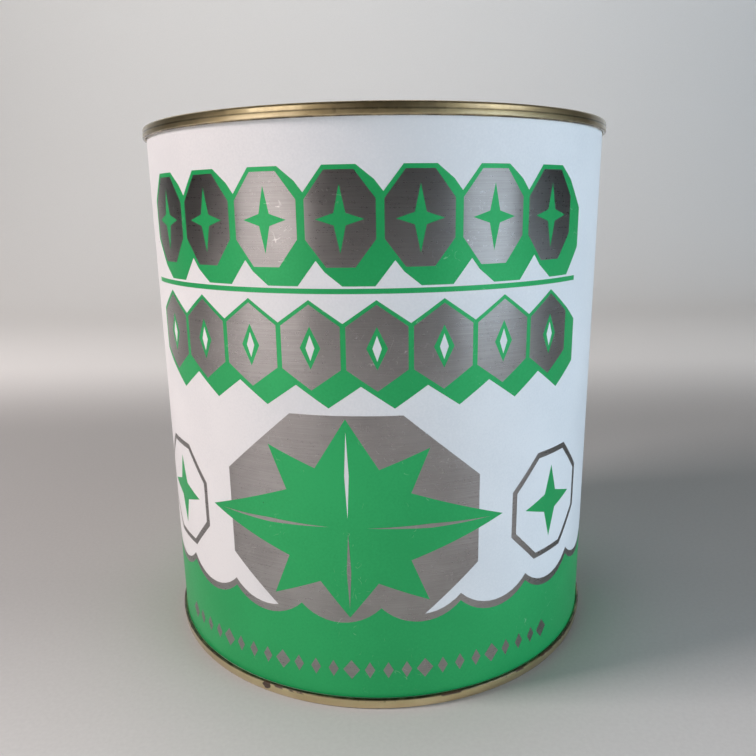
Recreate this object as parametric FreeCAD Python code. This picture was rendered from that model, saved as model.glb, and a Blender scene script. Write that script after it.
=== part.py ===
# Gallon can for fresh oysters, shut: a printed tinplate body with a gold-lacquered end
# seamed on at the top and at the bottom. Each end is one pressed sheet.
# +Z is up, and the origin is under the middle of the bottom seam. Sizes are in millimetres.
import FreeCAD, Part
import math
import os

# The can
height = 187.3            # over both seams
body_diameter = 165.8     # over the printed wall
body_plate = 0.30
end_plate = 0.34
fill_gap = 0.05           # between what fills the can and its two ends

# Double seam, the same at both ends
seam_length = 3.8
body_hook = 2.3           # the body's edge, turned out and back
cover_hook = 2.3          # the end's edge, tucked up behind the body hook
ply_gap = 0.09            # between neighbouring plies
crown_flat = 0.03         # ironed off the crown, which leaves the narrow flat the can stands on

# Countersink, the groove that runs round the panel inside the seam
countersink = 4.9         # from the crown to the bottom of the groove
chuck_taper = 0.3         # how far the wall inside the seam leans in
groove_width = 2.2
groove_bend = 0.8
panel_rise = 1.1          # from the groove up to the panel
panel_slope = 0.6

# Expansion beads, pressed outwards out of the panel
bead_margin = 5.0         # from the groove to the first bead
bead_height = 0.8
bead_slope = 1.6
bead_crest = 3.4
bead_pitch = 14.0
bead_count = 2
bead_bend = 1.5

# Soldered side seam, on the +X side between the two printed panels
side_seam_width = 1.2
side_seam_depth = 0.2

# Radii of the middle of each ply, from the can's inside to its outside
body_radius = body_diameter / 2
chuck_mid = body_radius - body_plate - ply_gap - end_plate / 2
wall_mid = body_radius - body_plate / 2
cover_hook_mid = body_radius + ply_gap + end_plate / 2
body_hook_mid = cover_hook_mid + end_plate / 2 + ply_gap + body_plate / 2
seam_wall_mid = body_hook_mid + body_plate / 2 + ply_gap + end_plate / 2

# Levels in an end are measured from the crown of its seam, towards the can's middle
crown_level = crown_flat - end_plate / 2
flange_level = crown_flat - end_plate - ply_gap - body_plate / 2
lip_level = -seam_length + end_plate / 2
groove_level = -countersink - end_plate / 2
panel_level = groove_level + panel_rise


def side_line(path, offset):
    """Edges of the line at a distance to the left of a path of (radius, level, bend)."""
    corners = [FreeCAD.Vector(radius, 0, level) for radius, level, bend in path]
    ways = [(b - a).normalize() for a, b in zip(corners, corners[1:])]
    lefts = [FreeCAD.Vector(-way.z, 0, way.x) for way in ways]
    edges = []
    here = corners[0] + lefts[0] * offset
    for i in range(1, len(path) - 1):
        before, after = ways[i - 1], ways[i]
        turn = math.atan2(before.x * after.z - before.z * after.x, before.dot(after))
        side = math.copysign(1, turn)
        bend = path[i][2]
        reach = bend * math.tan(abs(turn) / 2)
        start = corners[i] - before * reach + lefts[i - 1] * offset
        end = corners[i] + after * reach + lefts[i] * offset
        centre = corners[i] - before * reach + lefts[i - 1] * (side * bend)
        inward = (lefts[i - 1] + lefts[i]).normalize() * side
        if here.distanceToPoint(start) > 1e-6:
            edges.append(Part.LineSegment(here, start).toShape())
        edges.append(Part.Arc(start, centre - inward * (bend - side * offset), end).toShape())
        here = end
    last = corners[-1] + lefts[-1] * offset
    if here.distanceToPoint(last) > 1e-6:
        edges.append(Part.LineSegment(here, last).toShape())
    return edges


def sheet(path, plate):
    """Solid of revolution of a folded sheet whose middle runs along the path."""
    left = side_line(path, plate / 2)
    right = side_line(path, -plate / 2)
    first = Part.LineSegment(right[0].firstVertex(True).Point, left[0].firstVertex(True).Point)
    last = Part.LineSegment(left[-1].lastVertex(True).Point, right[-1].lastVertex(True).Point)
    outline = Part.Wire(left + [last.toShape()] + right[::-1] + [first.toShape()])
    return Part.Face(outline).revolve(FreeCAD.Vector(0, 0, 0), FreeCAD.Vector(0, 0, 1), 360)


def seam_folds():
    """Path of an end's edge: the cover hook, the seam's outside, its crown, the chuck wall."""
    lip_bend = (seam_wall_mid - cover_hook_mid) / 2
    crown_bend = (seam_wall_mid - chuck_mid) / 2
    return [
        (cover_hook_mid, -seam_length + cover_hook, 0),
        (cover_hook_mid, lip_level, lip_bend),
        (seam_wall_mid, lip_level, lip_bend),
        (seam_wall_mid, crown_level, crown_bend),
        (chuck_mid, crown_level, crown_bend),
    ]


def pressed_panel():
    """Path of the rest of an end: the countersink's groove, then the panel with its beads."""
    groove_outer = chuck_mid - chuck_taper
    groove_inner = groove_outer - groove_width
    path = [
        (groove_outer, groove_level, groove_bend),
        (groove_inner, groove_level, groove_bend),
        (groove_inner - panel_slope, panel_level, groove_bend),
    ]
    for i in range(bead_count):
        foot = groove_inner - bead_margin - i * bead_pitch
        crest = foot - bead_slope
        far_crest = crest - bead_crest
        path += [
            (foot, panel_level, bead_bend),
            (crest, panel_level + bead_height, bead_bend),
            (far_crest, panel_level + bead_height, bead_bend),
            (far_crest - bead_slope, panel_level, bead_bend),
        ]
    path.append((0, panel_level, 0))
    return path


def end():
    """One end, its crown ironed flat at level 0."""
    pressed = sheet(seam_folds() + pressed_panel(), end_plate)
    reach = 2 * seam_wall_mid
    ironed = Part.makeBox(2 * reach, 2 * reach, 1, FreeCAD.Vector(-reach, -reach, 0))
    return pressed.cut(ironed)


def top_end():
    shape = end()
    shape.translate(FreeCAD.Vector(0, 0, height))
    return shape


def bottom_end():
    shape = end()
    shape.rotate(FreeCAD.Vector(0, 0, 0), FreeCAD.Vector(1, 0, 0), 180)
    return shape


def can_body():
    """The wall, hooked into both seams, and what fills it from one end to the other."""
    hook_bend = (body_hook_mid - wall_mid) / 2
    hook_tip = crown_flat - end_plate - ply_gap - body_hook
    upper = [
        (body_hook_mid, height + hook_tip, 0),
        (body_hook_mid, height + flange_level, hook_bend),
        (wall_mid, height + flange_level, hook_bend),
    ]
    lower = [(radius, height - level, bend) for radius, level, bend in reversed(upper)]
    wall = sheet(upper + lower, body_plate)
    depth = countersink + end_plate + fill_gap
    fill = Part.makeCylinder(wall_mid, height - 2 * depth, FreeCAD.Vector(0, 0, depth))
    side_seam = Part.makeBox(
        2 * side_seam_depth, side_seam_width, height - 2 * seam_length,
        FreeCAD.Vector(body_radius - side_seam_depth, -side_seam_width / 2, seam_length))
    return wall.fuse(fill).removeSplitter().cut(side_seam)


os.makedirs("parts", exist_ok=True)
for piece in (can_body, top_end, bottom_end):
    piece().exportStep(f"parts/{piece.__name__}.step")
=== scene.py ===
import math

import bmesh
import bpy
from mathutils import Matrix, Vector
from mathutils.geometry import convex_hull_2d


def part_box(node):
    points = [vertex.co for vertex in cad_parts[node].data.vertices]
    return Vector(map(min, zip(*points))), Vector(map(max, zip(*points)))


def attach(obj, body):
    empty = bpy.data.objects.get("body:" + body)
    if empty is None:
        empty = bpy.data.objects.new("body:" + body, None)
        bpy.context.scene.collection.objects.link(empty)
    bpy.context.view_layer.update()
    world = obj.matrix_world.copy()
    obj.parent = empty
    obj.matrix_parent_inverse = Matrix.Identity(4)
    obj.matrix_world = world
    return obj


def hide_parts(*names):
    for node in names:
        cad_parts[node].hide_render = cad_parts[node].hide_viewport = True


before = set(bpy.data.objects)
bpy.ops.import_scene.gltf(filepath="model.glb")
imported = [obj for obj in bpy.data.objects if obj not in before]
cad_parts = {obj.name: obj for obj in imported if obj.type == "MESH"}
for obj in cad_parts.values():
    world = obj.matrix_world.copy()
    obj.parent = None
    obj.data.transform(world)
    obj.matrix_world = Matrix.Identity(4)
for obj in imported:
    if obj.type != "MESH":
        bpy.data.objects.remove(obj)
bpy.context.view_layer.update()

# ---------------------------------------------------------------------------------------
# Camera: a hand-held camera close in front of the can, a little below its top rim, looking
# slightly down on it, so that the upright sides draw together towards the floor.
MM = 0.001                # sizes are in millimetres, and are brought to metres by this
camera_distance = 279.5
camera_height = 160.0
camera_down = 13.83       # degrees below level
camera_roll = -0.86       # degrees
camera_lens = 33.16
near_clip = 10.0

camera_data = bpy.data.cameras.new("camera")
camera_data.lens = camera_lens
camera_data.clip_start = near_clip * MM
camera = bpy.data.objects.new("camera", camera_data)
camera.location = Vector((0, -camera_distance, camera_height)) * MM
camera.rotation_euler = (
    Matrix.Rotation(math.radians(90 - camera_down), 3, "X")
    @ Matrix.Rotation(math.radians(camera_roll), 3, "Z")
).to_euler()
bpy.context.collection.objects.link(camera)
bpy.context.scene.camera = camera
bpy.context.scene.view_settings.view_transform = "Standard"


# ---------------------------------------------------------------------------------------
# Studio: a sweep of pale grey paper, flat under the can and curved up far behind it. Its tone
# carries a painted pool of light on the floor in front of the can and painted shade round it. Soft
# warm light comes from the left, cool light from the right and a little from the front. Three of
# the lights aren't mirrored in the metal, whose bright bands come from the others.
paper_reach = (-450, 750)  # the paper's tones change between these depths
# The paper's tones by depth: lighter in front of the can as a painted pool of light, darker under
# and beside it as painted shade, and lighter again up the backdrop
floor_tones_and_painted_light = ((0.0, 0.92), (0.22, 0.92), (0.38, 0.50), (0.55, 0.46), (0.75, 0.90), (1.0, 0.80))
fibre_scale = 700
fibre_share = 0.12
sweep_front = -2600
sweep_back = 1500
sweep_bend = 700
sweep_top = 2600
sweep_half_width = 3200
sweep_cuts = 24
world_light = 0.01        # the light from all round, far below the lamps'
far_wall_tone = 0.53      # what is seen past the paper's edges


def new_material(name):
    """A material with an empty Principled shader, and the parts that its nodes hang on."""
    material = bpy.data.materials.new(name)
    material.use_nodes = True
    nodes = material.node_tree.nodes
    return material, nodes, material.node_tree.links, nodes["Principled BSDF"]


def keep(bm, name, material):
    """Makes the drawn mesh an object of the scene."""
    mesh = bpy.data.meshes.new(name)
    bm.to_mesh(mesh)
    bm.free()
    mesh.materials.append(material)
    mesh.shade_smooth()
    piece = bpy.data.objects.new(name, mesh)
    bpy.context.collection.objects.link(piece)
    return piece


paper, nodes, links, shader = new_material("grey_paper")
where = nodes.new("ShaderNodeTexCoord")
fibres = nodes.new("ShaderNodeTexNoise")
fibres.inputs["Scale"].default_value = fibre_scale
fibres.inputs["Detail"].default_value = 3
place = nodes.new("ShaderNodeSeparateXYZ")
depth = nodes.new("ShaderNodeMapRange")
depth.inputs["From Min"].default_value = paper_reach[0] * MM
depth.inputs["From Max"].default_value = paper_reach[1] * MM
# This ramp lays the painted light and shade onto the paper, by depth
tones = nodes.new("ShaderNodeValToRGB")
tones.color_ramp.interpolation = "EASE"
for at, _ in floor_tones_and_painted_light[1:-1]:
    tones.color_ramp.elements.new(at)
for stop, (at, grey) in zip(tones.color_ramp.elements, floor_tones_and_painted_light):
    stop.position = at
    stop.color = (grey, grey, grey * 0.99, 1)
sheet = nodes.new("ShaderNodeMix")
sheet.data_type = "RGBA"
sheet.blend_type = "MULTIPLY"
sheet.inputs["Factor"].default_value = fibre_share
links.new(where.outputs["Object"], fibres.inputs["Vector"])
links.new(where.outputs["Object"], place.inputs["Vector"])
links.new(place.outputs["Y"], depth.inputs["Value"])
links.new(depth.outputs["Result"], tones.inputs["Fac"])
links.new(tones.outputs["Color"], sheet.inputs["A"])
links.new(fibres.outputs["Fac"], sheet.inputs["B"])
links.new(sheet.outputs["Result"], shader.inputs["Base Color"])
shader.inputs["Roughness"].default_value = 0.8
shader.inputs["Specular IOR Level"].default_value = 0.2

bm = bmesh.new()
corners = [
    bm.verts.new(Vector((-sweep_half_width, y, z)) * MM)
    for y, z in ((sweep_front, 0), (sweep_back, 0), (sweep_back, sweep_top))
]
for start, stop in zip(corners, corners[1:]):
    bm.edges.new((start, stop))
bmesh.ops.bevel(
    bm, geom=[corners[1]], offset=sweep_bend * MM, offset_type="OFFSET", segments=sweep_cuts,
    profile=0.5, affect="VERTICES", material=-1)
pulled = bmesh.ops.extrude_edge_only(bm, edges=bm.edges[:])["geom"]
bmesh.ops.translate(
    bm, verts=[v for v in pulled if isinstance(v, bmesh.types.BMVert)],
    vec=Vector((2 * sweep_half_width, 0, 0)) * MM)
bmesh.ops.recalc_face_normals(bm, faces=bm.faces[:])
if sum(face.normal.z for face in bm.faces) < 0:
    bmesh.ops.reverse_faces(bm, faces=bm.faces[:])
sweep = keep(bm, "paper_sweep", paper)


def window(name, azimuth, elevation, distance, width, height, power, colour,
           aim=(0, 0, 94), mirrored=True):
    """A soft window of light that faces its aim, in metres but for the aim, and in degrees.

    Azimuth 0 is in front of the can, and positive to the right.
    """
    light = bpy.data.lights.new(name, "AREA")
    light.shape = "RECTANGLE"
    light.size = width
    light.size_y = height
    light.energy = power
    light.color = colour
    lamp = bpy.data.objects.new(name, light)
    lamp.visible_glossy = mirrored
    turn, rise = math.radians(azimuth), math.radians(elevation)
    level_part = math.cos(rise)
    away = Vector((math.sin(turn) * level_part, -math.cos(turn) * level_part, math.sin(rise)))
    lamp.location = Vector(aim) * MM + away * distance
    lamp.rotation_euler = away.to_track_quat("Z", "Y").to_euler()
    bpy.context.collection.objects.link(lamp)


# Each has its azimuth, elevation, distance, width, height, power and colour
window("left_window", -78, 32, 1.3, 0.35, 0.4, 12.7, (1.0, 0.89, 0.875), mirrored=False)
window("left_low", -50, 3, 1.5, 0.9, 0.3, 1.9, (1.0, 0.92, 0.90))
window("left_high", -46, 27, 1.5, 0.62, 0.34, 2.2, (1.0, 0.92, 0.86))
window("right_window", 66, 3, 1.6, 1.9, 0.2, 18.5, (0.635, 0.83, 1.0), mirrored=False)
window("right_low", 54, 2, 1.6, 0.8, 0.3, 1.6, (0.75, 0.88, 1.0))
window("right_high", 58, 27, 1.6, 0.75, 0.35, 2.3, (0.93, 0.97, 1.0))
window("front_fill", 0, 22, 1.6, 0.8, 0.5, 1.1, (1.0, 1.0, 1.0), mirrored=False)
window("backdrop_light", -12, 35, 1.1, 2.2, 0.5, 9.5, (1.0, 0.94, 0.87), aim=(-300, 1500, 800))
world = bpy.data.worlds.new("studio")
world.use_nodes = True
nodes, links = world.node_tree.nodes, world.node_tree.links
nodes["Background"].inputs["Color"].default_value = (0.9, 0.95, 1.0, 1)
nodes["Background"].inputs["Strength"].default_value = world_light
far_wall = nodes.new("ShaderNodeBackground")
far_wall.inputs["Color"].default_value = (far_wall_tone, far_wall_tone, far_wall_tone, 1)
ray = nodes.new("ShaderNodeLightPath")
seen = nodes.new("ShaderNodeMixShader")
links.new(ray.outputs["Is Camera Ray"], seen.inputs[0])
links.new(nodes["Background"].outputs[0], seen.inputs[1])
links.new(far_wall.outputs[0], seen.inputs[2])
links.new(seen.outputs[0], nodes["World Output"].inputs["Surface"])
bpy.context.scene.world = world


# ---------------------------------------------------------------------------------------
# Printed wall: tinplate rolled into a cylinder and enamelled white before the other inks.
# The enamel is a satin coat with a faint grain, and has a few dark specks and rub marks.
can_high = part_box("top_end")[1]
can_height = can_high.z / MM
body_radius = 82.9
wall_tuck = 0.3           # how far the wall runs up behind each seam's lower edge
seam_length = 3.8
wall_plate = 0.3
contents_depth = 5.4      # the contents end this far in from each rim, below the gold end
round_steps = 240
wall_cuts = 35            # cuts up the wall, so that its faces stay near square


def add_group(name, inputs, outputs):
    """An empty shader node group with its sockets."""
    group = bpy.data.node_groups.new(name, "ShaderNodeTree")
    for socket, kind, value in inputs:
        made = group.interface.new_socket(socket, in_out="INPUT", socket_type="NodeSocket" + kind)
        made.default_value = value
    for socket, kind in outputs:
        group.interface.new_socket(socket, in_out="OUTPUT", socket_type="NodeSocket" + kind)
    way_in = group.nodes.new("NodeGroupInput")
    way_out = group.nodes.new("NodeGroupOutput")
    return group, group.nodes, group.links, way_in, way_out


def noise(nodes, links, source, scale, detail=2.0, stretch=(1, 1, 1), shift=(0, 0, 0)):
    """Noise on coordinates in metres, with a size of about 1 / scale."""
    placed = nodes.new("ShaderNodeMapping")
    placed.inputs["Scale"].default_value = stretch
    placed.inputs["Location"].default_value = shift
    texture = nodes.new("ShaderNodeTexNoise")
    texture.inputs["Scale"].default_value = scale
    texture.inputs["Detail"].default_value = detail
    links.new(source, placed.inputs["Vector"])
    links.new(placed.outputs["Vector"], texture.inputs["Vector"])
    return texture.outputs["Fac"]


def ramp(nodes, links, source, low, high, start=0.0, stop=1.0):
    """A smooth step from start to stop as the source goes from low to high."""
    step = nodes.new("ShaderNodeMapRange")
    step.interpolation_type = "SMOOTHSTEP"
    step.inputs["From Min"].default_value = low
    step.inputs["From Max"].default_value = high
    step.inputs["To Min"].default_value = start
    step.inputs["To Max"].default_value = stop
    links.new(source, step.inputs["Value"])
    return step.outputs["Result"]


def reckon(nodes, links, kind, first, second):
    """Math on two values, either of which may be a plain number."""
    made = nodes.new("ShaderNodeMath")
    made.operation = kind
    for socket, value in zip(made.inputs, (first, second)):
        if isinstance(value, (int, float)):
            socket.default_value = value
        else:
            links.new(value, socket)
    return made.outputs["Value"]


def blend_colour(nodes, links, share, below, above):
    """Colour above laid over colour below by a mask."""
    mixed = nodes.new("ShaderNodeMix")
    mixed.data_type = "RGBA"
    for socket, value in (("Factor", share), ("A", below), ("B", above)):
        if isinstance(value, (tuple, list)):
            mixed.inputs[socket].default_value = tuple(value) + (1,)
        elif isinstance(value, float):
            mixed.inputs[socket].default_value = value
        else:
            links.new(value, mixed.inputs[socket])
    return mixed.outputs["Result"]


def print_wear_group():
    """Small marks of handling: hair scratches, nicks where the ink is gone, and dark specks."""
    group, nodes, links, way_in, way_out = add_group(
        "print_wear",
        [("Vector", "Vector", (0, 0, 0)), ("Scratches", "Float", 0.5), ("Specks", "Float", 0.5)],
        [("Scratch", "Float"), ("Speck", "Float"), ("Mottle", "Float"), ("Height", "Float")])
    here = way_in.outputs["Vector"]
    marks = []
    # Each kind of hair scratch: how close, how thin, how large its patches are, and a shift
    for scale, thin, where_scale, shift in ((130, 0.006, 45, 0.3), (260, 0.010, 70, 1.7)):
        line = noise(nodes, links, here, scale, 1.0, shift=(shift, shift, 0))
        off_line = reckon(nodes, links, "ABSOLUTE", reckon(nodes, links, "SUBTRACT", line, 0.5), 0)
        hair = ramp(nodes, links, off_line, 0, thin, 1, 0)
        patch = noise(nodes, links, here, where_scale, 3.0, shift=(0, shift, shift))
        broken = noise(nodes, links, here, scale * 3.1, 0.0, shift=(shift, 0, shift))
        patch_mask = ramp(nodes, links, patch, 0.57, 0.66)
        broken_mask = ramp(nodes, links, broken, 0.52, 0.62)
        marks.append(reckon(
            nodes, links, "MULTIPLY", hair,
            reckon(nodes, links, "MULTIPLY", patch_mask, broken_mask)))
    scratch = reckon(nodes, links, "MAXIMUM", marks[0], marks[1])
    links.new(reckon(nodes, links, "MULTIPLY", scratch, way_in.outputs["Scratches"]),
              way_out.inputs["Scratch"])
    cells = nodes.new("ShaderNodeTexVoronoi")
    cells.inputs["Scale"].default_value = 190
    links.new(here, cells.inputs["Vector"])
    chosen = nodes.new("ShaderNodeSeparateColor")
    links.new(cells.outputs["Color"], chosen.inputs["Color"])
    rare = ramp(nodes, links, chosen.outputs["Red"], 0.93, 0.94)
    dot = ramp(nodes, links, cells.outputs["Distance"], 0.03, 0.07, 1, 0)
    speck = reckon(nodes, links, "MULTIPLY", rare, dot)
    links.new(reckon(nodes, links, "MULTIPLY", speck, way_in.outputs["Specks"]),
              way_out.inputs["Speck"])
    cloud = noise(nodes, links, here, 28, 3.0)
    grain = noise(nodes, links, here, 1500, 2.0)
    links.new(reckon(nodes, links, "ADD", reckon(nodes, links, "MULTIPLY", cloud, 0.6),
                     reckon(nodes, links, "MULTIPLY", grain, 0.4)), way_out.inputs["Mottle"])
    links.new(reckon(nodes, links, "SUBTRACT", grain, scratch), way_out.inputs["Height"])
    return group


print_wear = print_wear_group()


def ink_material(name, thin, full, scuffed, roughness, metallic, bump, scratches, specks, speck):
    """An ink or enamel: two tones of it, mottled, with scratches and specks on top."""
    material, nodes, links, shader = new_material(name)
    where = nodes.new("ShaderNodeTexCoord")
    wear = nodes.new("ShaderNodeGroup")
    wear.node_tree = print_wear
    wear.inputs["Scratches"].default_value = scratches
    wear.inputs["Specks"].default_value = specks
    links.new(where.outputs["Object"], wear.inputs["Vector"])
    tone = blend_colour(
        nodes, links, ramp(nodes, links, wear.outputs["Mottle"], 0.35, 0.65), thin, full)
    tone = blend_colour(nodes, links, wear.outputs["Scratch"], tone, scuffed)
    tone = blend_colour(nodes, links, wear.outputs["Speck"], tone, speck)
    links.new(tone, shader.inputs["Base Color"])
    links.new(
        ramp(nodes, links, wear.outputs["Mottle"], 0.3, 0.7, roughness * 0.92, roughness * 1.08),
        shader.inputs["Roughness"])
    shader.inputs["Metallic"].default_value = metallic
    relief = nodes.new("ShaderNodeBump")
    relief.inputs["Strength"].default_value = bump
    relief.inputs["Distance"].default_value = 0.05 * MM
    links.new(wear.outputs["Height"], relief.inputs["Height"])
    links.new(relief.outputs["Normal"], shader.inputs["Normal"])
    return material


white_enamel = ink_material(
    "white_enamel", thin=(0.74, 0.745, 0.76), full=(0.80, 0.80, 0.81), scuffed=(0.62, 0.62, 0.62),
    roughness=0.42, metallic=0.0, bump=0.25, scratches=0.25, specks=0.7, speck=(0.18, 0.17, 0.16))


def turned(bm):
    """Turns the profile in the XZ plane round the can's axis, and closes its seam and pole."""
    bmesh.ops.spin(
        bm, geom=bm.verts[:] + bm.edges[:], cent=(0, 0, 0), axis=(0, 0, 1), dvec=(0, 0, 0),
        angle=2 * math.pi, steps=round_steps, use_merge=True)
    bmesh.ops.remove_doubles(bm, verts=bm.verts[:], dist=0.0005)
    bmesh.ops.recalc_face_normals(bm, faces=bm.faces[:])


bm = bmesh.new()
wall_foot = seam_length - wall_tuck
wall_head = can_height - wall_foot
line = [
    bm.verts.new((radius, 0, level)) for radius, level in (
        (0, contents_depth), (body_radius - wall_plate, contents_depth),
        (body_radius - wall_plate, wall_foot), (body_radius, wall_foot),
        (body_radius, wall_head), (body_radius - wall_plate, wall_head),
        (body_radius - wall_plate, can_height - contents_depth), (0, can_height - contents_depth))
]
for start, stop in zip(line, line[1:]):
    bm.edges.new((start, stop))
outside = bm.edges.get((line[3], line[4]))
bmesh.ops.subdivide_edges(bm, edges=[outside], cuts=wall_cuts)
turned(bm)
bmesh.ops.scale(bm, verts=bm.verts[:], vec=(MM, MM, MM))
wall = keep(bm, "printed_wall", white_enamel)
wall.data.set_sharp_from_angle(angle=math.radians(40))
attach(wall, "root")
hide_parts("can_body")


# ---------------------------------------------------------------------------------------
# Inks: thin films that lie on the wall. Each is drawn flat, in millimetres round the wall
# from the middle of the front and up from the floor, then cut in strips and wrapped round.
# A film's level is how far it stands out from the wall, and a later ink stands out further.
film_sink = 0.02          # the film's underside, sunk into the wall
strip_turn = 0.9          # degrees round the can
strip = body_radius * math.radians(strip_turn)
spare_strips = 8
turn_length = 2 * math.pi * body_radius
panel_middles = (-10.0, turn_length / 2 - 10.0)
seam_at = turn_length / 4


def stamp(bm, sides, u, z, width, height, level, flat=False):
    """A flat regular shape, stretched to its width and height, with a point or a flat upwards."""
    made = bmesh.ops.create_circle(bm, cap_ends=True, radius=0.5, segments=sides)["verts"]
    if flat:
        half_turn = math.pi / sides
        bmesh.ops.rotate(bm, verts=made, cent=(0, 0, 0), matrix=Matrix.Rotation(half_turn, 3, "Z"))
        bmesh.ops.scale(bm, verts=made, vec=(1 / math.cos(half_turn), 1 / math.cos(half_turn), 1))
    bmesh.ops.scale(bm, verts=made, vec=(width, height, 1))
    bmesh.ops.translate(bm, verts=made, vec=(u, z, level))
    return made


def hull(bm, verts, level):
    """Replaces loose flat shapes by the one outline round them all."""
    ring = convex_hull_2d([v.co.xy for v in verts])
    outline = [bm.verts.new((*verts[i].co.xy, level)) for i in ring]
    bmesh.ops.delete(bm, geom=verts, context="VERTS")
    bm.faces.new(outline)


def wrapped(bm, name, material):
    """Cuts the flat drawing in strips, thickens it and wraps it round the wall."""
    bmesh.ops.triangulate(bm, faces=bm.faces[:])
    reach = math.ceil(turn_length / strip / 2) + spare_strips
    for i in range(-reach, 2 * reach):
        bmesh.ops.bisect_plane(
            bm, geom=bm.verts[:] + bm.edges[:] + bm.faces[:], dist=0.0001,
            plane_co=(i * strip, 0, 0), plane_no=(1, 0, 0))
    sunk = bmesh.ops.extrude_face_region(bm, geom=bm.faces[:], use_keep_orig=True)["geom"]
    for v in sunk:
        if isinstance(v, bmesh.types.BMVert):
            v.co.z = -film_sink
    bmesh.ops.recalc_face_normals(bm, faces=bm.faces[:])
    for v in bm.verts:
        turn, out = v.co.x / body_radius, body_radius + v.co.z
        v.co = Vector((out * math.sin(turn), -out * math.cos(turn), v.co.y)) * MM
    film = keep(bm, name, material)
    film.data.normals_split_custom_set_from_vertices(
        [Vector((v.co.x, v.co.y, 0)).normalized() for v in film.data.vertices])
    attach(film, "root")
    return film


# ---------------------------------------------------------------------------------------
# Bare tin: where neither the white nor the green is printed, the rolled tinplate shows. It
# is grey and satin, with the fine level lines of the rolling mill.
def bare_tin_material(name, dark, light, roughness):
    """Tinplate between two tones, drawn out in level lines, with bright scratches and specks."""
    material, nodes, links, shader = new_material(name)
    where = nodes.new("ShaderNodeTexCoord")
    here = where.outputs["Object"]
    mill = noise(nodes, links, here, 1.0, 4.0, stretch=(60, 60, 4200))
    cloud = noise(nodes, links, here, 60, 3.0)
    spots = noise(nodes, links, here, 900, 2.0)
    shade = reckon(nodes, links, "ADD", reckon(nodes, links, "MULTIPLY", mill, 0.5),
                   reckon(nodes, links, "MULTIPLY", cloud, 0.5))
    tone = blend_colour(nodes, links, ramp(nodes, links, shade, 0.35, 0.65), dark, light)
    wear = nodes.new("ShaderNodeGroup")
    wear.node_tree = print_wear
    wear.inputs["Scratches"].default_value = 0.6
    wear.inputs["Specks"].default_value = 0.8
    links.new(here, wear.inputs["Vector"])
    tone = blend_colour(nodes, links, wear.outputs["Scratch"], tone, (0.85, 0.84, 0.82))
    tone = blend_colour(nodes, links, wear.outputs["Speck"], tone, (0.9, 0.89, 0.87))
    links.new(tone, shader.inputs["Base Color"])
    links.new(ramp(nodes, links, reckon(nodes, links, "MULTIPLY", spots, mill), 0.1, 0.4,
                   roughness * 0.93, roughness * 1.07), shader.inputs["Roughness"])
    shader.inputs["Metallic"].default_value = 1.0
    shader.inputs["Anisotropic"].default_value = 0.6
    shader.inputs["Anisotropic Rotation"].default_value = 0.25
    grain_way = nodes.new("ShaderNodeTangent")
    grain_way.direction_type = "RADIAL"
    grain_way.axis = "Z"
    links.new(grain_way.outputs["Tangent"], shader.inputs["Tangent"])
    relief = nodes.new("ShaderNodeBump")
    relief.inputs["Strength"].default_value = 0.15
    relief.inputs["Distance"].default_value = 0.02 * MM
    links.new(mill, relief.inputs["Height"])
    links.new(relief.outputs["Normal"], shader.inputs["Normal"])
    return material


bare_tin = bare_tin_material("bare_tin", (0.35, 0.335, 0.33), (0.43, 0.415, 0.41), 0.29)

scallop_count = 20
scallop_pitch = turn_length / scallop_count
scallop_radius = 18.1
scallop_low = 31.0
scallop_steps = 12
rim_rise = 2.6            # how much of the tin shows above the green band
rim_sink = 4.0            # and how far it runs down behind the band
field_middle = 64.0       # the eight-sided field behind the large star
field_width = 84.0
field_height = 72.0
field_level = 0.012
ring_shift = 74.0         # the eight-sided rings to the left and right of it
ring_middle = 62.0
ring_across = 38.0
ring_width = 2.0
rim_level = 0.008


def scallops(bm, low, foot, level):
    """A band with a top edge of hollow scallops, all round the can from the side seam."""
    half = math.asin(scallop_pitch / 2 / scallop_radius)
    for i in range(scallop_count):
        u = seam_at + (i + 0.5) * scallop_pitch - turn_length
        centre = Vector((u, low + scallop_radius, level))
        start = Vector((-math.sin(half), -math.cos(half), 0)) * scallop_radius
        first = bm.verts.new(centre + start)
        bmesh.ops.spin(
            bm, geom=[first], cent=centre, axis=(0, 0, 1), dvec=(0, 0, 0), angle=2 * half,
            steps=scallop_steps)
    top = bm.edges[:]
    pulled = bmesh.ops.extrude_edge_only(bm, edges=top)["geom"]
    for v in pulled:
        if isinstance(v, bmesh.types.BMVert):
            v.co.y = foot
    bmesh.ops.remove_doubles(bm, verts=bm.verts[:], dist=0.01)


bm = bmesh.new()
scallops(bm, scallop_low + rim_rise, scallop_low - rim_sink, rim_level)
for middle in panel_middles:
    stamp(bm, 8, middle, field_middle, field_width, field_height, field_level, True)
    for side in (-1, 1):
        stamp(bm, 8, middle + side * ring_shift, ring_middle,
              ring_across, ring_across, rim_level, True)
wrapped(bm, "bare_tin_grounds", bare_tin)


# ---------------------------------------------------------------------------------------
# Green ink: one strong green, printed over the tin without a white ground, so that the
# metal gives it a little shine. It is scratched more than the white is.
green_ink = ink_material(
    "green_ink", thin=(0.022, 0.44, 0.13), full=(0.015, 0.385, 0.11), scuffed=(0.38, 0.68, 0.45),
    roughness=0.38, metallic=0.25, bump=0.2, scratches=0.55, specks=0.5, speck=(0.01, 0.08, 0.03))

print_low = seam_length - 0.2
band_level = 0.016
star_up = 35.0
star_down = 31.0
star_across = 51.0
star_notch = 19.0
star_level = 0.025
short_arms_base = 30.0    # the four short arms between the long ones
short_arms_reach = 21.0
short_arms_level = 0.02
small_star_reach = 13.0
small_star_notch = 4.5
small_star_level = 0.018
rule_height = 136.8
rule_size = (166.0, 1.5)
block_levels = (0.031, 0.035)  # by turns, because the borders of neighbours overlap
ink_margin = 1.3          # green round each tin block
shadow_shift = (5.0, -4.0)
row_half = 79.0
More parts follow.
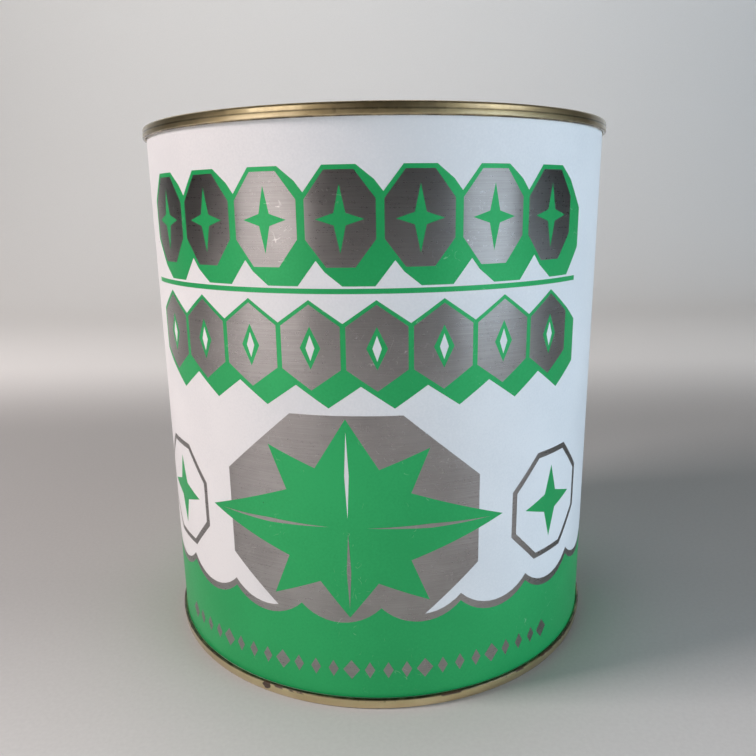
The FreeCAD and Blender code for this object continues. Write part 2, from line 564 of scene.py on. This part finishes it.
# Each row of blocks: its foot and head, the number of blocks, the gap between them, their
# sides, and whether they have a flat at the top instead of a point
rows = (
    (143.5, 170.0, 7, 2.4, 8, True),
    (107.5, 133.0, 8, -1.2, 6, False),
)


def blocks(foot, head, count, gap):
    """Where each block of a row has its middle, and its size."""
    pitch = 2 * row_half / count
    for i in range(count):
        yield -row_half + (i + 0.5) * pitch, (foot + head) / 2, pitch - gap, head - foot


def star(bm, u, z, up, down, across, notch, level):
    """A star of four points that reach up, down and to both sides, with four hollows between."""
    centre = Vector((u, z, level))
    for v in stamp(bm, 8, u, z, 2 * notch, 2 * notch, level):
        away = v.co - centre
        if abs(away.x) < notch / 9:
            v.co = centre + away * (up if away.y > 0 else down) / notch
        elif abs(away.y) < notch / 9:
            v.co = centre + away * across / notch


bm = bmesh.new()
scallops(bm, scallop_low, print_low, band_level)
for middle in panel_middles:
    star(bm, middle, field_middle, star_up, star_down, star_across, star_notch, star_level)
    short_arms = stamp(
        bm, 8, middle, field_middle, short_arms_base, short_arms_base, short_arms_level)
    for v in short_arms:
        away = v.co - Vector((middle, field_middle, v.co.z))
        if min(abs(away.x), abs(away.y)) > 1:
            v.co += away.normalized() * short_arms_reach
    for side in (-1, 1):
        star(bm, middle + side * ring_shift, ring_middle,
             small_star_reach, small_star_reach, small_star_reach,
             small_star_notch, small_star_level)
    rule = bmesh.ops.create_grid(bm, x_segments=1, y_segments=1, size=0.5)["verts"]
    bmesh.ops.scale(bm, verts=rule, vec=(*rule_size, 1))
    bmesh.ops.translate(bm, verts=rule, vec=(middle, rule_height, band_level))
    for foot, head, count, gap, sides, flat in rows:
        for i, (u, z, width, height) in enumerate(blocks(foot, head, count, gap)):
            level = block_levels[i % 2]
            grown = []
            for shift_u, shift_z in ((0, 0), shadow_shift):
                grown += stamp(
                    bm, sides, middle + u + shift_u, z + shift_z,
                    width + 2 * ink_margin, height + 2 * ink_margin, level, flat)
            hull(bm, grown, level)
wrapped(bm, "green_ink_film", green_ink)


# ---------------------------------------------------------------------------------------
# White lines: the white enamel again, inside the rings round the two small stars, and as a
# fine line up the upper arm of the large one.
line_width = 1.4
upper_line_rise = 17.0
upper_line_length = 28.0
upper_line_level = 0.029
ring_white_level = 0.012
ring_inside = ring_across - 2 * ring_width

bm = bmesh.new()
for middle in panel_middles:
    stamp(bm, 4, middle, field_middle + upper_line_rise,
          line_width, upper_line_length, upper_line_level)
    for side in (-1, 1):
        stamp(bm, 8, middle + side * ring_shift, ring_middle,
              ring_inside, ring_inside, ring_white_level, True)
wrapped(bm, "white_lines", white_enamel)


# ---------------------------------------------------------------------------------------
# Bare tin blocks: two rows of plain eight-sided and six-sided blocks left open in the green,
# fine lines along the large star's other arms, and small lozenges on the band at the foot.
tin_level = 0.042
side_line_shift = 26.0
side_line_length = 40.0
lower_line_drop = 15.0
lower_line_length = 26.0
lozenge_height = 14.0     # the row's middle, up from the floor
lozenge_pitch = 6.0
lozenge_reach = 12        # lozenges to each side of the middle one
small_lozenge = (3.4, 6.0)
large_lozenge = (5.5, 7.0)
large_every = 4

bm = bmesh.new()
for middle in panel_middles:
    for foot, head, count, gap, sides, flat in rows:
        for u, z, width, height in blocks(foot, head, count, gap):
            stamp(bm, sides, middle + u, z, width, height, tin_level, flat)
    for side in (-1, 1):
        stamp(bm, 4, middle + side * side_line_shift, field_middle,
              side_line_length, line_width, tin_level)
    stamp(bm, 4, middle, field_middle - lower_line_drop, line_width, lower_line_length, tin_level)
    for i in range(-lozenge_reach, lozenge_reach + 1):
        size = small_lozenge if i % large_every else large_lozenge
        stamp(bm, 4, middle + i * lozenge_pitch, lozenge_height, *size, tin_level)
wrapped(bm, "bare_tin_blocks", bare_tin)


# ---------------------------------------------------------------------------------------
# Block middles: green ink printed in the middle of each tin block, a four-pointed star in the
# eight-sided ones and a lozenge in the six-sided ones.
middle_star = (9.5, 9.5, 7.0, 2.4)  # how far up, down and across it reaches, and its hollows
middle_lozenge = (0.3, 0.5)         # shares of the block's width and height
middle_level = 0.05

bm = bmesh.new()
for middle in panel_middles:
    for foot, head, count, gap, sides, flat in rows:
        for u, z, width, height in blocks(foot, head, count, gap):
            if flat:
                star(bm, middle + u, z, *middle_star, middle_level)
            else:
                stamp(bm, 4, middle + u, z,
                      width * middle_lozenge[0], height * middle_lozenge[1], middle_level)
wrapped(bm, "green_block_middles", green_ink)


# ---------------------------------------------------------------------------------------
# White slots: a narrow lozenge of white enamel inside the green one of each six-sided block.
# It is the ink that lies furthest out from the wall.
white_slot = (0.13, 0.3)  # shares of the block's width and height
slot_level = 0.058

bm = bmesh.new()
for middle in panel_middles:
    for foot, head, count, gap, sides, flat in rows:
        for u, z, width, height in blocks(foot, head, count, gap):
            if not flat:
                stamp(bm, 4, middle + u, z,
                      width * white_slot[0], height * white_slot[1], slot_level)
wrapped(bm, "white_block_slots", white_enamel)


# ---------------------------------------------------------------------------------------
# Side seam: the sheet's two edges are left unprinted so that they can be joined. The join
# runs straight up the can and is filled with a thin line of paler solder.
seam_margin = 5.0
margin_level = 0.03
solder_width = 1.4
solder_level = 0.06
solder = bare_tin_material("solder", (0.60, 0.595, 0.58), (0.70, 0.695, 0.68), 0.36)


def upright_strip(width, level):
    """A strip along the side seam, from one end's seam to the other's."""
    bm = bmesh.new()
    made = bmesh.ops.create_grid(bm, x_segments=1, y_segments=1, size=0.5)["verts"]
    bmesh.ops.scale(bm, verts=made, vec=(width, can_height - 2 * print_low, 1))
    bmesh.ops.translate(bm, verts=made, vec=(seam_at, can_height / 2, level))
    return bm


wrapped(upright_strip(2 * seam_margin, margin_level), "bare_tin_margin", bare_tin)
wrapped(upright_strip(solder_width, solder_level), "side_seam_solder", solder)


# ---------------------------------------------------------------------------------------
# Ends: pressed from gold-lacquered tinplate and rolled onto the body in a double seam. Each
# has a groove inside its seam and two beads round its panel. The folds of the seams are darkened
# by dark lines that are partly dirt and partly painted shade.
base_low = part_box("bottom_end")[0]
seam_radius = can_high.x / MM
end_plate = 0.34
ply_gap = 0.09
cover_hook = 2.3
seam_waist = 2.0          # down from the rim, where the seaming roll leaves off
waist_bend = 3.0
crown_lean = 0.22         # how far the face leans in from there to the rim
rust_turn = math.radians(-28)  # where the rust spot is, round from the front
rust_height = 2.9
rust_edge = (2.2, 2.6)
rust_ragged = 1.6
countersink = 4.9
chuck_taper = 0.3
groove_width = 2.2
groove_bend = 0.8
panel_rise = 1.1
panel_slope = 0.6
bead_margin = 5.0
bead_height = 0.8
bead_slope = 1.6
bead_crest = 3.4
bead_pitch = 14.0
bead_bend = 1.5
bead_count = 2
bend_cuts = 5
bend_ease = 0.999         # keeps two bends that share an edge from meeting


def seam_marks_group():
    """Dark lines of dirt and painted shade in the upper seam's waist and under both hems, and rust
    on the lower seam's edge.
    """
    group, nodes, links, way_in, way_out = add_group(
        "seam_marks",
        [("Vector", "Vector", (0, 0, 0))],
        [("Dirt_and_shade", "Float"), ("Rust", "Float")])
    here = way_in.outputs["Vector"]
    place = nodes.new("ShaderNodeSeparateXYZ")
    links.new(here, place.inputs["Vector"])
    flat = nodes.new("ShaderNodeCombineXYZ")
    links.new(place.outputs["X"], flat.inputs["X"])
    links.new(place.outputs["Y"], flat.inputs["Y"])
    span = nodes.new("ShaderNodeVectorMath")
    span.operation = "LENGTH"
    links.new(flat.outputs["Vector"], span.inputs[0])
    outside = ramp(
        nodes, links, span.outputs["Value"], (body_radius + 0.2) * MM, (body_radius + 0.5) * MM)
    middle = can_height / 2 * MM
    from_middle = reckon(
        nodes, links, "ABSOLUTE", reckon(nodes, links, "SUBTRACT", place.outputs["Z"], middle), 0)
    patches = noise(nodes, links, here, 160, 4.0)
    lines = []
    # A dark line in the upper seam's waist and one under each hem: partly dirt, partly painted
    # shade in the crease and under the hem
    for depth, reach, share in ((seam_waist, 0.35, 0.6), (seam_length, 0.7, 0.95)):
        away = reckon(
            nodes, links, "ABSOLUTE",
            reckon(nodes, links, "SUBTRACT", from_middle, middle - depth * MM), 0)
        lines.append(ramp(nodes, links, away, 0.1 * MM, reach * MM, share, 0))
    upper = ramp(nodes, links, place.outputs["Z"], middle, middle + MM)
    waist_line = reckon(nodes, links, "MULTIPLY", lines[0], upper)
    dirt_and_shade = reckon(nodes, links, "MAXIMUM", waist_line, lines[1])
    dirt_and_shade = reckon(nodes, links, "MULTIPLY", dirt_and_shade, ramp(nodes, links, patches, 0.3, 0.6, 0.6, 1))
    links.new(reckon(nodes, links, "MULTIPLY", dirt_and_shade, outside), way_out.inputs["Dirt_and_shade"])
    low_edge = reckon(
        nodes, links, "MULTIPLY",
        ramp(nodes, links, place.outputs["Z"], 2.6 * MM, 3.3 * MM),
        ramp(nodes, links, place.outputs["Z"], 4.2 * MM, 5 * MM, 1, 0))
    dashes = reckon(
        nodes, links, "MULTIPLY", low_edge, ramp(nodes, links, patches, 0.56, 0.62))
    to_spot = nodes.new("ShaderNodeVectorMath")
    to_spot.operation = "DISTANCE"
    links.new(here, to_spot.inputs[0])
    to_spot.inputs[1].default_value = Vector(
        (seam_radius * math.sin(rust_turn), -seam_radius * math.cos(rust_turn), rust_height)) * MM
    ragged = reckon(
        nodes, links, "ADD", to_spot.outputs["Value"],
        reckon(nodes, links, "MULTIPLY", noise(nodes, links, here, 900, 2.0), rust_ragged * MM))
    spot = ramp(nodes, links, ragged, rust_edge[0] * MM, rust_edge[1] * MM, 1, 0)
    rust = reckon(nodes, links, "MAXIMUM", spot, dashes)
    links.new(reckon(nodes, links, "MULTIPLY", rust, outside), way_out.inputs["Rust"])
    return group


def gold_lacquer_material():
    """Tinplate under a clear gold lacquer: a warm metal, streaked across where the rolls ran."""
    material, nodes, links, shader = new_material("gold_lacquer")
    where = nodes.new("ShaderNodeTexCoord")
    here = where.outputs["Object"]
    cloud = noise(nodes, links, here, 55, 4.0)
    fine = noise(nodes, links, here, 1500, 2.0, stretch=(1, 1, 0.3))
    marks = nodes.new("ShaderNodeGroup")
    marks.node_tree = seam_marks_group()
    links.new(here, marks.inputs["Vector"])
    tone = blend_colour(nodes, links, ramp(nodes, links, cloud, 0.35, 0.65),
                        (0.72, 0.57, 0.31), (0.83, 0.69, 0.41))
    # Painted shade with dirt: darkens the gold in the upper seam's waist and under both hems
    tone = blend_colour(nodes, links, marks.outputs["Dirt_and_shade"], tone, (0.045, 0.032, 0.018))
    tone = blend_colour(nodes, links, marks.outputs["Rust"], tone, (0.06, 0.03, 0.015))
    links.new(tone, shader.inputs["Base Color"])
    dull = reckon(nodes, links, "MAXIMUM", marks.outputs["Dirt_and_shade"], marks.outputs["Rust"])
    links.new(
        reckon(nodes, links, "MAXIMUM", ramp(nodes, links, fine, 0.3, 0.7, 0.32, 0.44),
               reckon(nodes, links, "MULTIPLY", dull, 0.7)),
        shader.inputs["Roughness"])
    links.new(ramp(nodes, links, marks.outputs["Rust"], 0, 1, 1, 0.1), shader.inputs["Metallic"])
    shader.inputs["Coat Weight"].default_value = 1.0
    shader.inputs["Coat Roughness"].default_value = 0.15
    relief = nodes.new("ShaderNodeBump")
    relief.inputs["Strength"].default_value = 0.4
    relief.inputs["Distance"].default_value = 0.03 * MM
    links.new(fine, relief.inputs["Height"])
    links.new(relief.outputs["Normal"], shader.inputs["Normal"])
    return material


gold_lacquer = gold_lacquer_material()


def gold_end(name, node, level, way):
    """One end, facing up or down. Its profile is the face that shows, and the plate is inside.

    Each step of the path is a radius, a depth from the rim and the radius of its bend.
    """
    inner_wall = body_radius - wall_plate - ply_gap - end_plate
    hook_face = body_radius + ply_gap
    lip = (seam_radius - hook_face) / 2
    crown = (seam_radius - crown_lean - inner_wall) / 2
    tight, wide = groove_bend - end_plate / 2, groove_bend + end_plate / 2
    groove_outer = inner_wall - chuck_taper
    groove_inner = groove_outer - groove_width + end_plate
    panel = panel_rise - countersink
    path = [
        (hook_face, cover_hook - seam_length, 0),
        (hook_face, -seam_length, lip),
        (seam_radius, -seam_length, lip),
        (seam_radius, -seam_waist, waist_bend),
        (seam_radius - crown_lean, 0, crown),
        (inner_wall, 0, crown),
        (groove_outer, -countersink, tight),
        (groove_inner, -countersink, tight),
        (groove_inner - panel_slope, panel, wide),
    ]
    for i in range(bead_count):
        bead_foot = groove_inner - end_plate / 2 - bead_margin - i * bead_pitch
        crest = bead_foot - bead_slope
        path += [
            (bead_foot, panel, bead_bend),
            (crest, panel + bead_height, bead_bend),
            (crest - bead_crest, panel + bead_height, bead_bend),
            (crest - bead_crest - bead_slope, panel, bead_bend),
        ]
    path.append((0, panel, 0))
    bm = bmesh.new()
    line = [bm.verts.new((radius, 0, depth)) for radius, depth, _ in path]
    for start, stop in zip(line, line[1:]):
        bm.edges.new((start, stop))
    bends = []
    for v, before, after, (_, _, bend) in zip(line[1:], line, line[2:], path[1:]):
        turn = (v.co - before.co).angle(after.co - v.co)
        bends.append((v, bend * math.tan(turn / 2) * bend_ease))
    for v, reach in bends:
        bmesh.ops.bevel(
            bm, geom=[v], offset=reach, offset_type="OFFSET", segments=bend_cuts, profile=0.5,
            affect="VERTICES", material=-1)
    turned(bm)
    if max(bm.faces, key=lambda face: face.calc_center_median().z).normal.z < 0:
        bmesh.ops.reverse_faces(bm, faces=bm.faces[:])
    bmesh.ops.solidify(bm, geom=bm.faces[:], thickness=end_plate)
    bmesh.ops.scale(bm, verts=bm.verts[:], vec=(MM, MM, MM))
    if way < 0:
        over = Matrix.Rotation(math.pi, 3, "X")
        bmesh.ops.rotate(bm, verts=bm.verts[:], cent=(0, 0, 0), matrix=over)
    bmesh.ops.translate(bm, verts=bm.verts[:], vec=(0, 0, level))
    piece = keep(bm, name, gold_lacquer)
    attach(piece, "root")
    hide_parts(node)


gold_end("gold_top_end", "top_end", can_high.z, 1)
gold_end("gold_bottom_end", "bottom_end", base_low.z, -1)
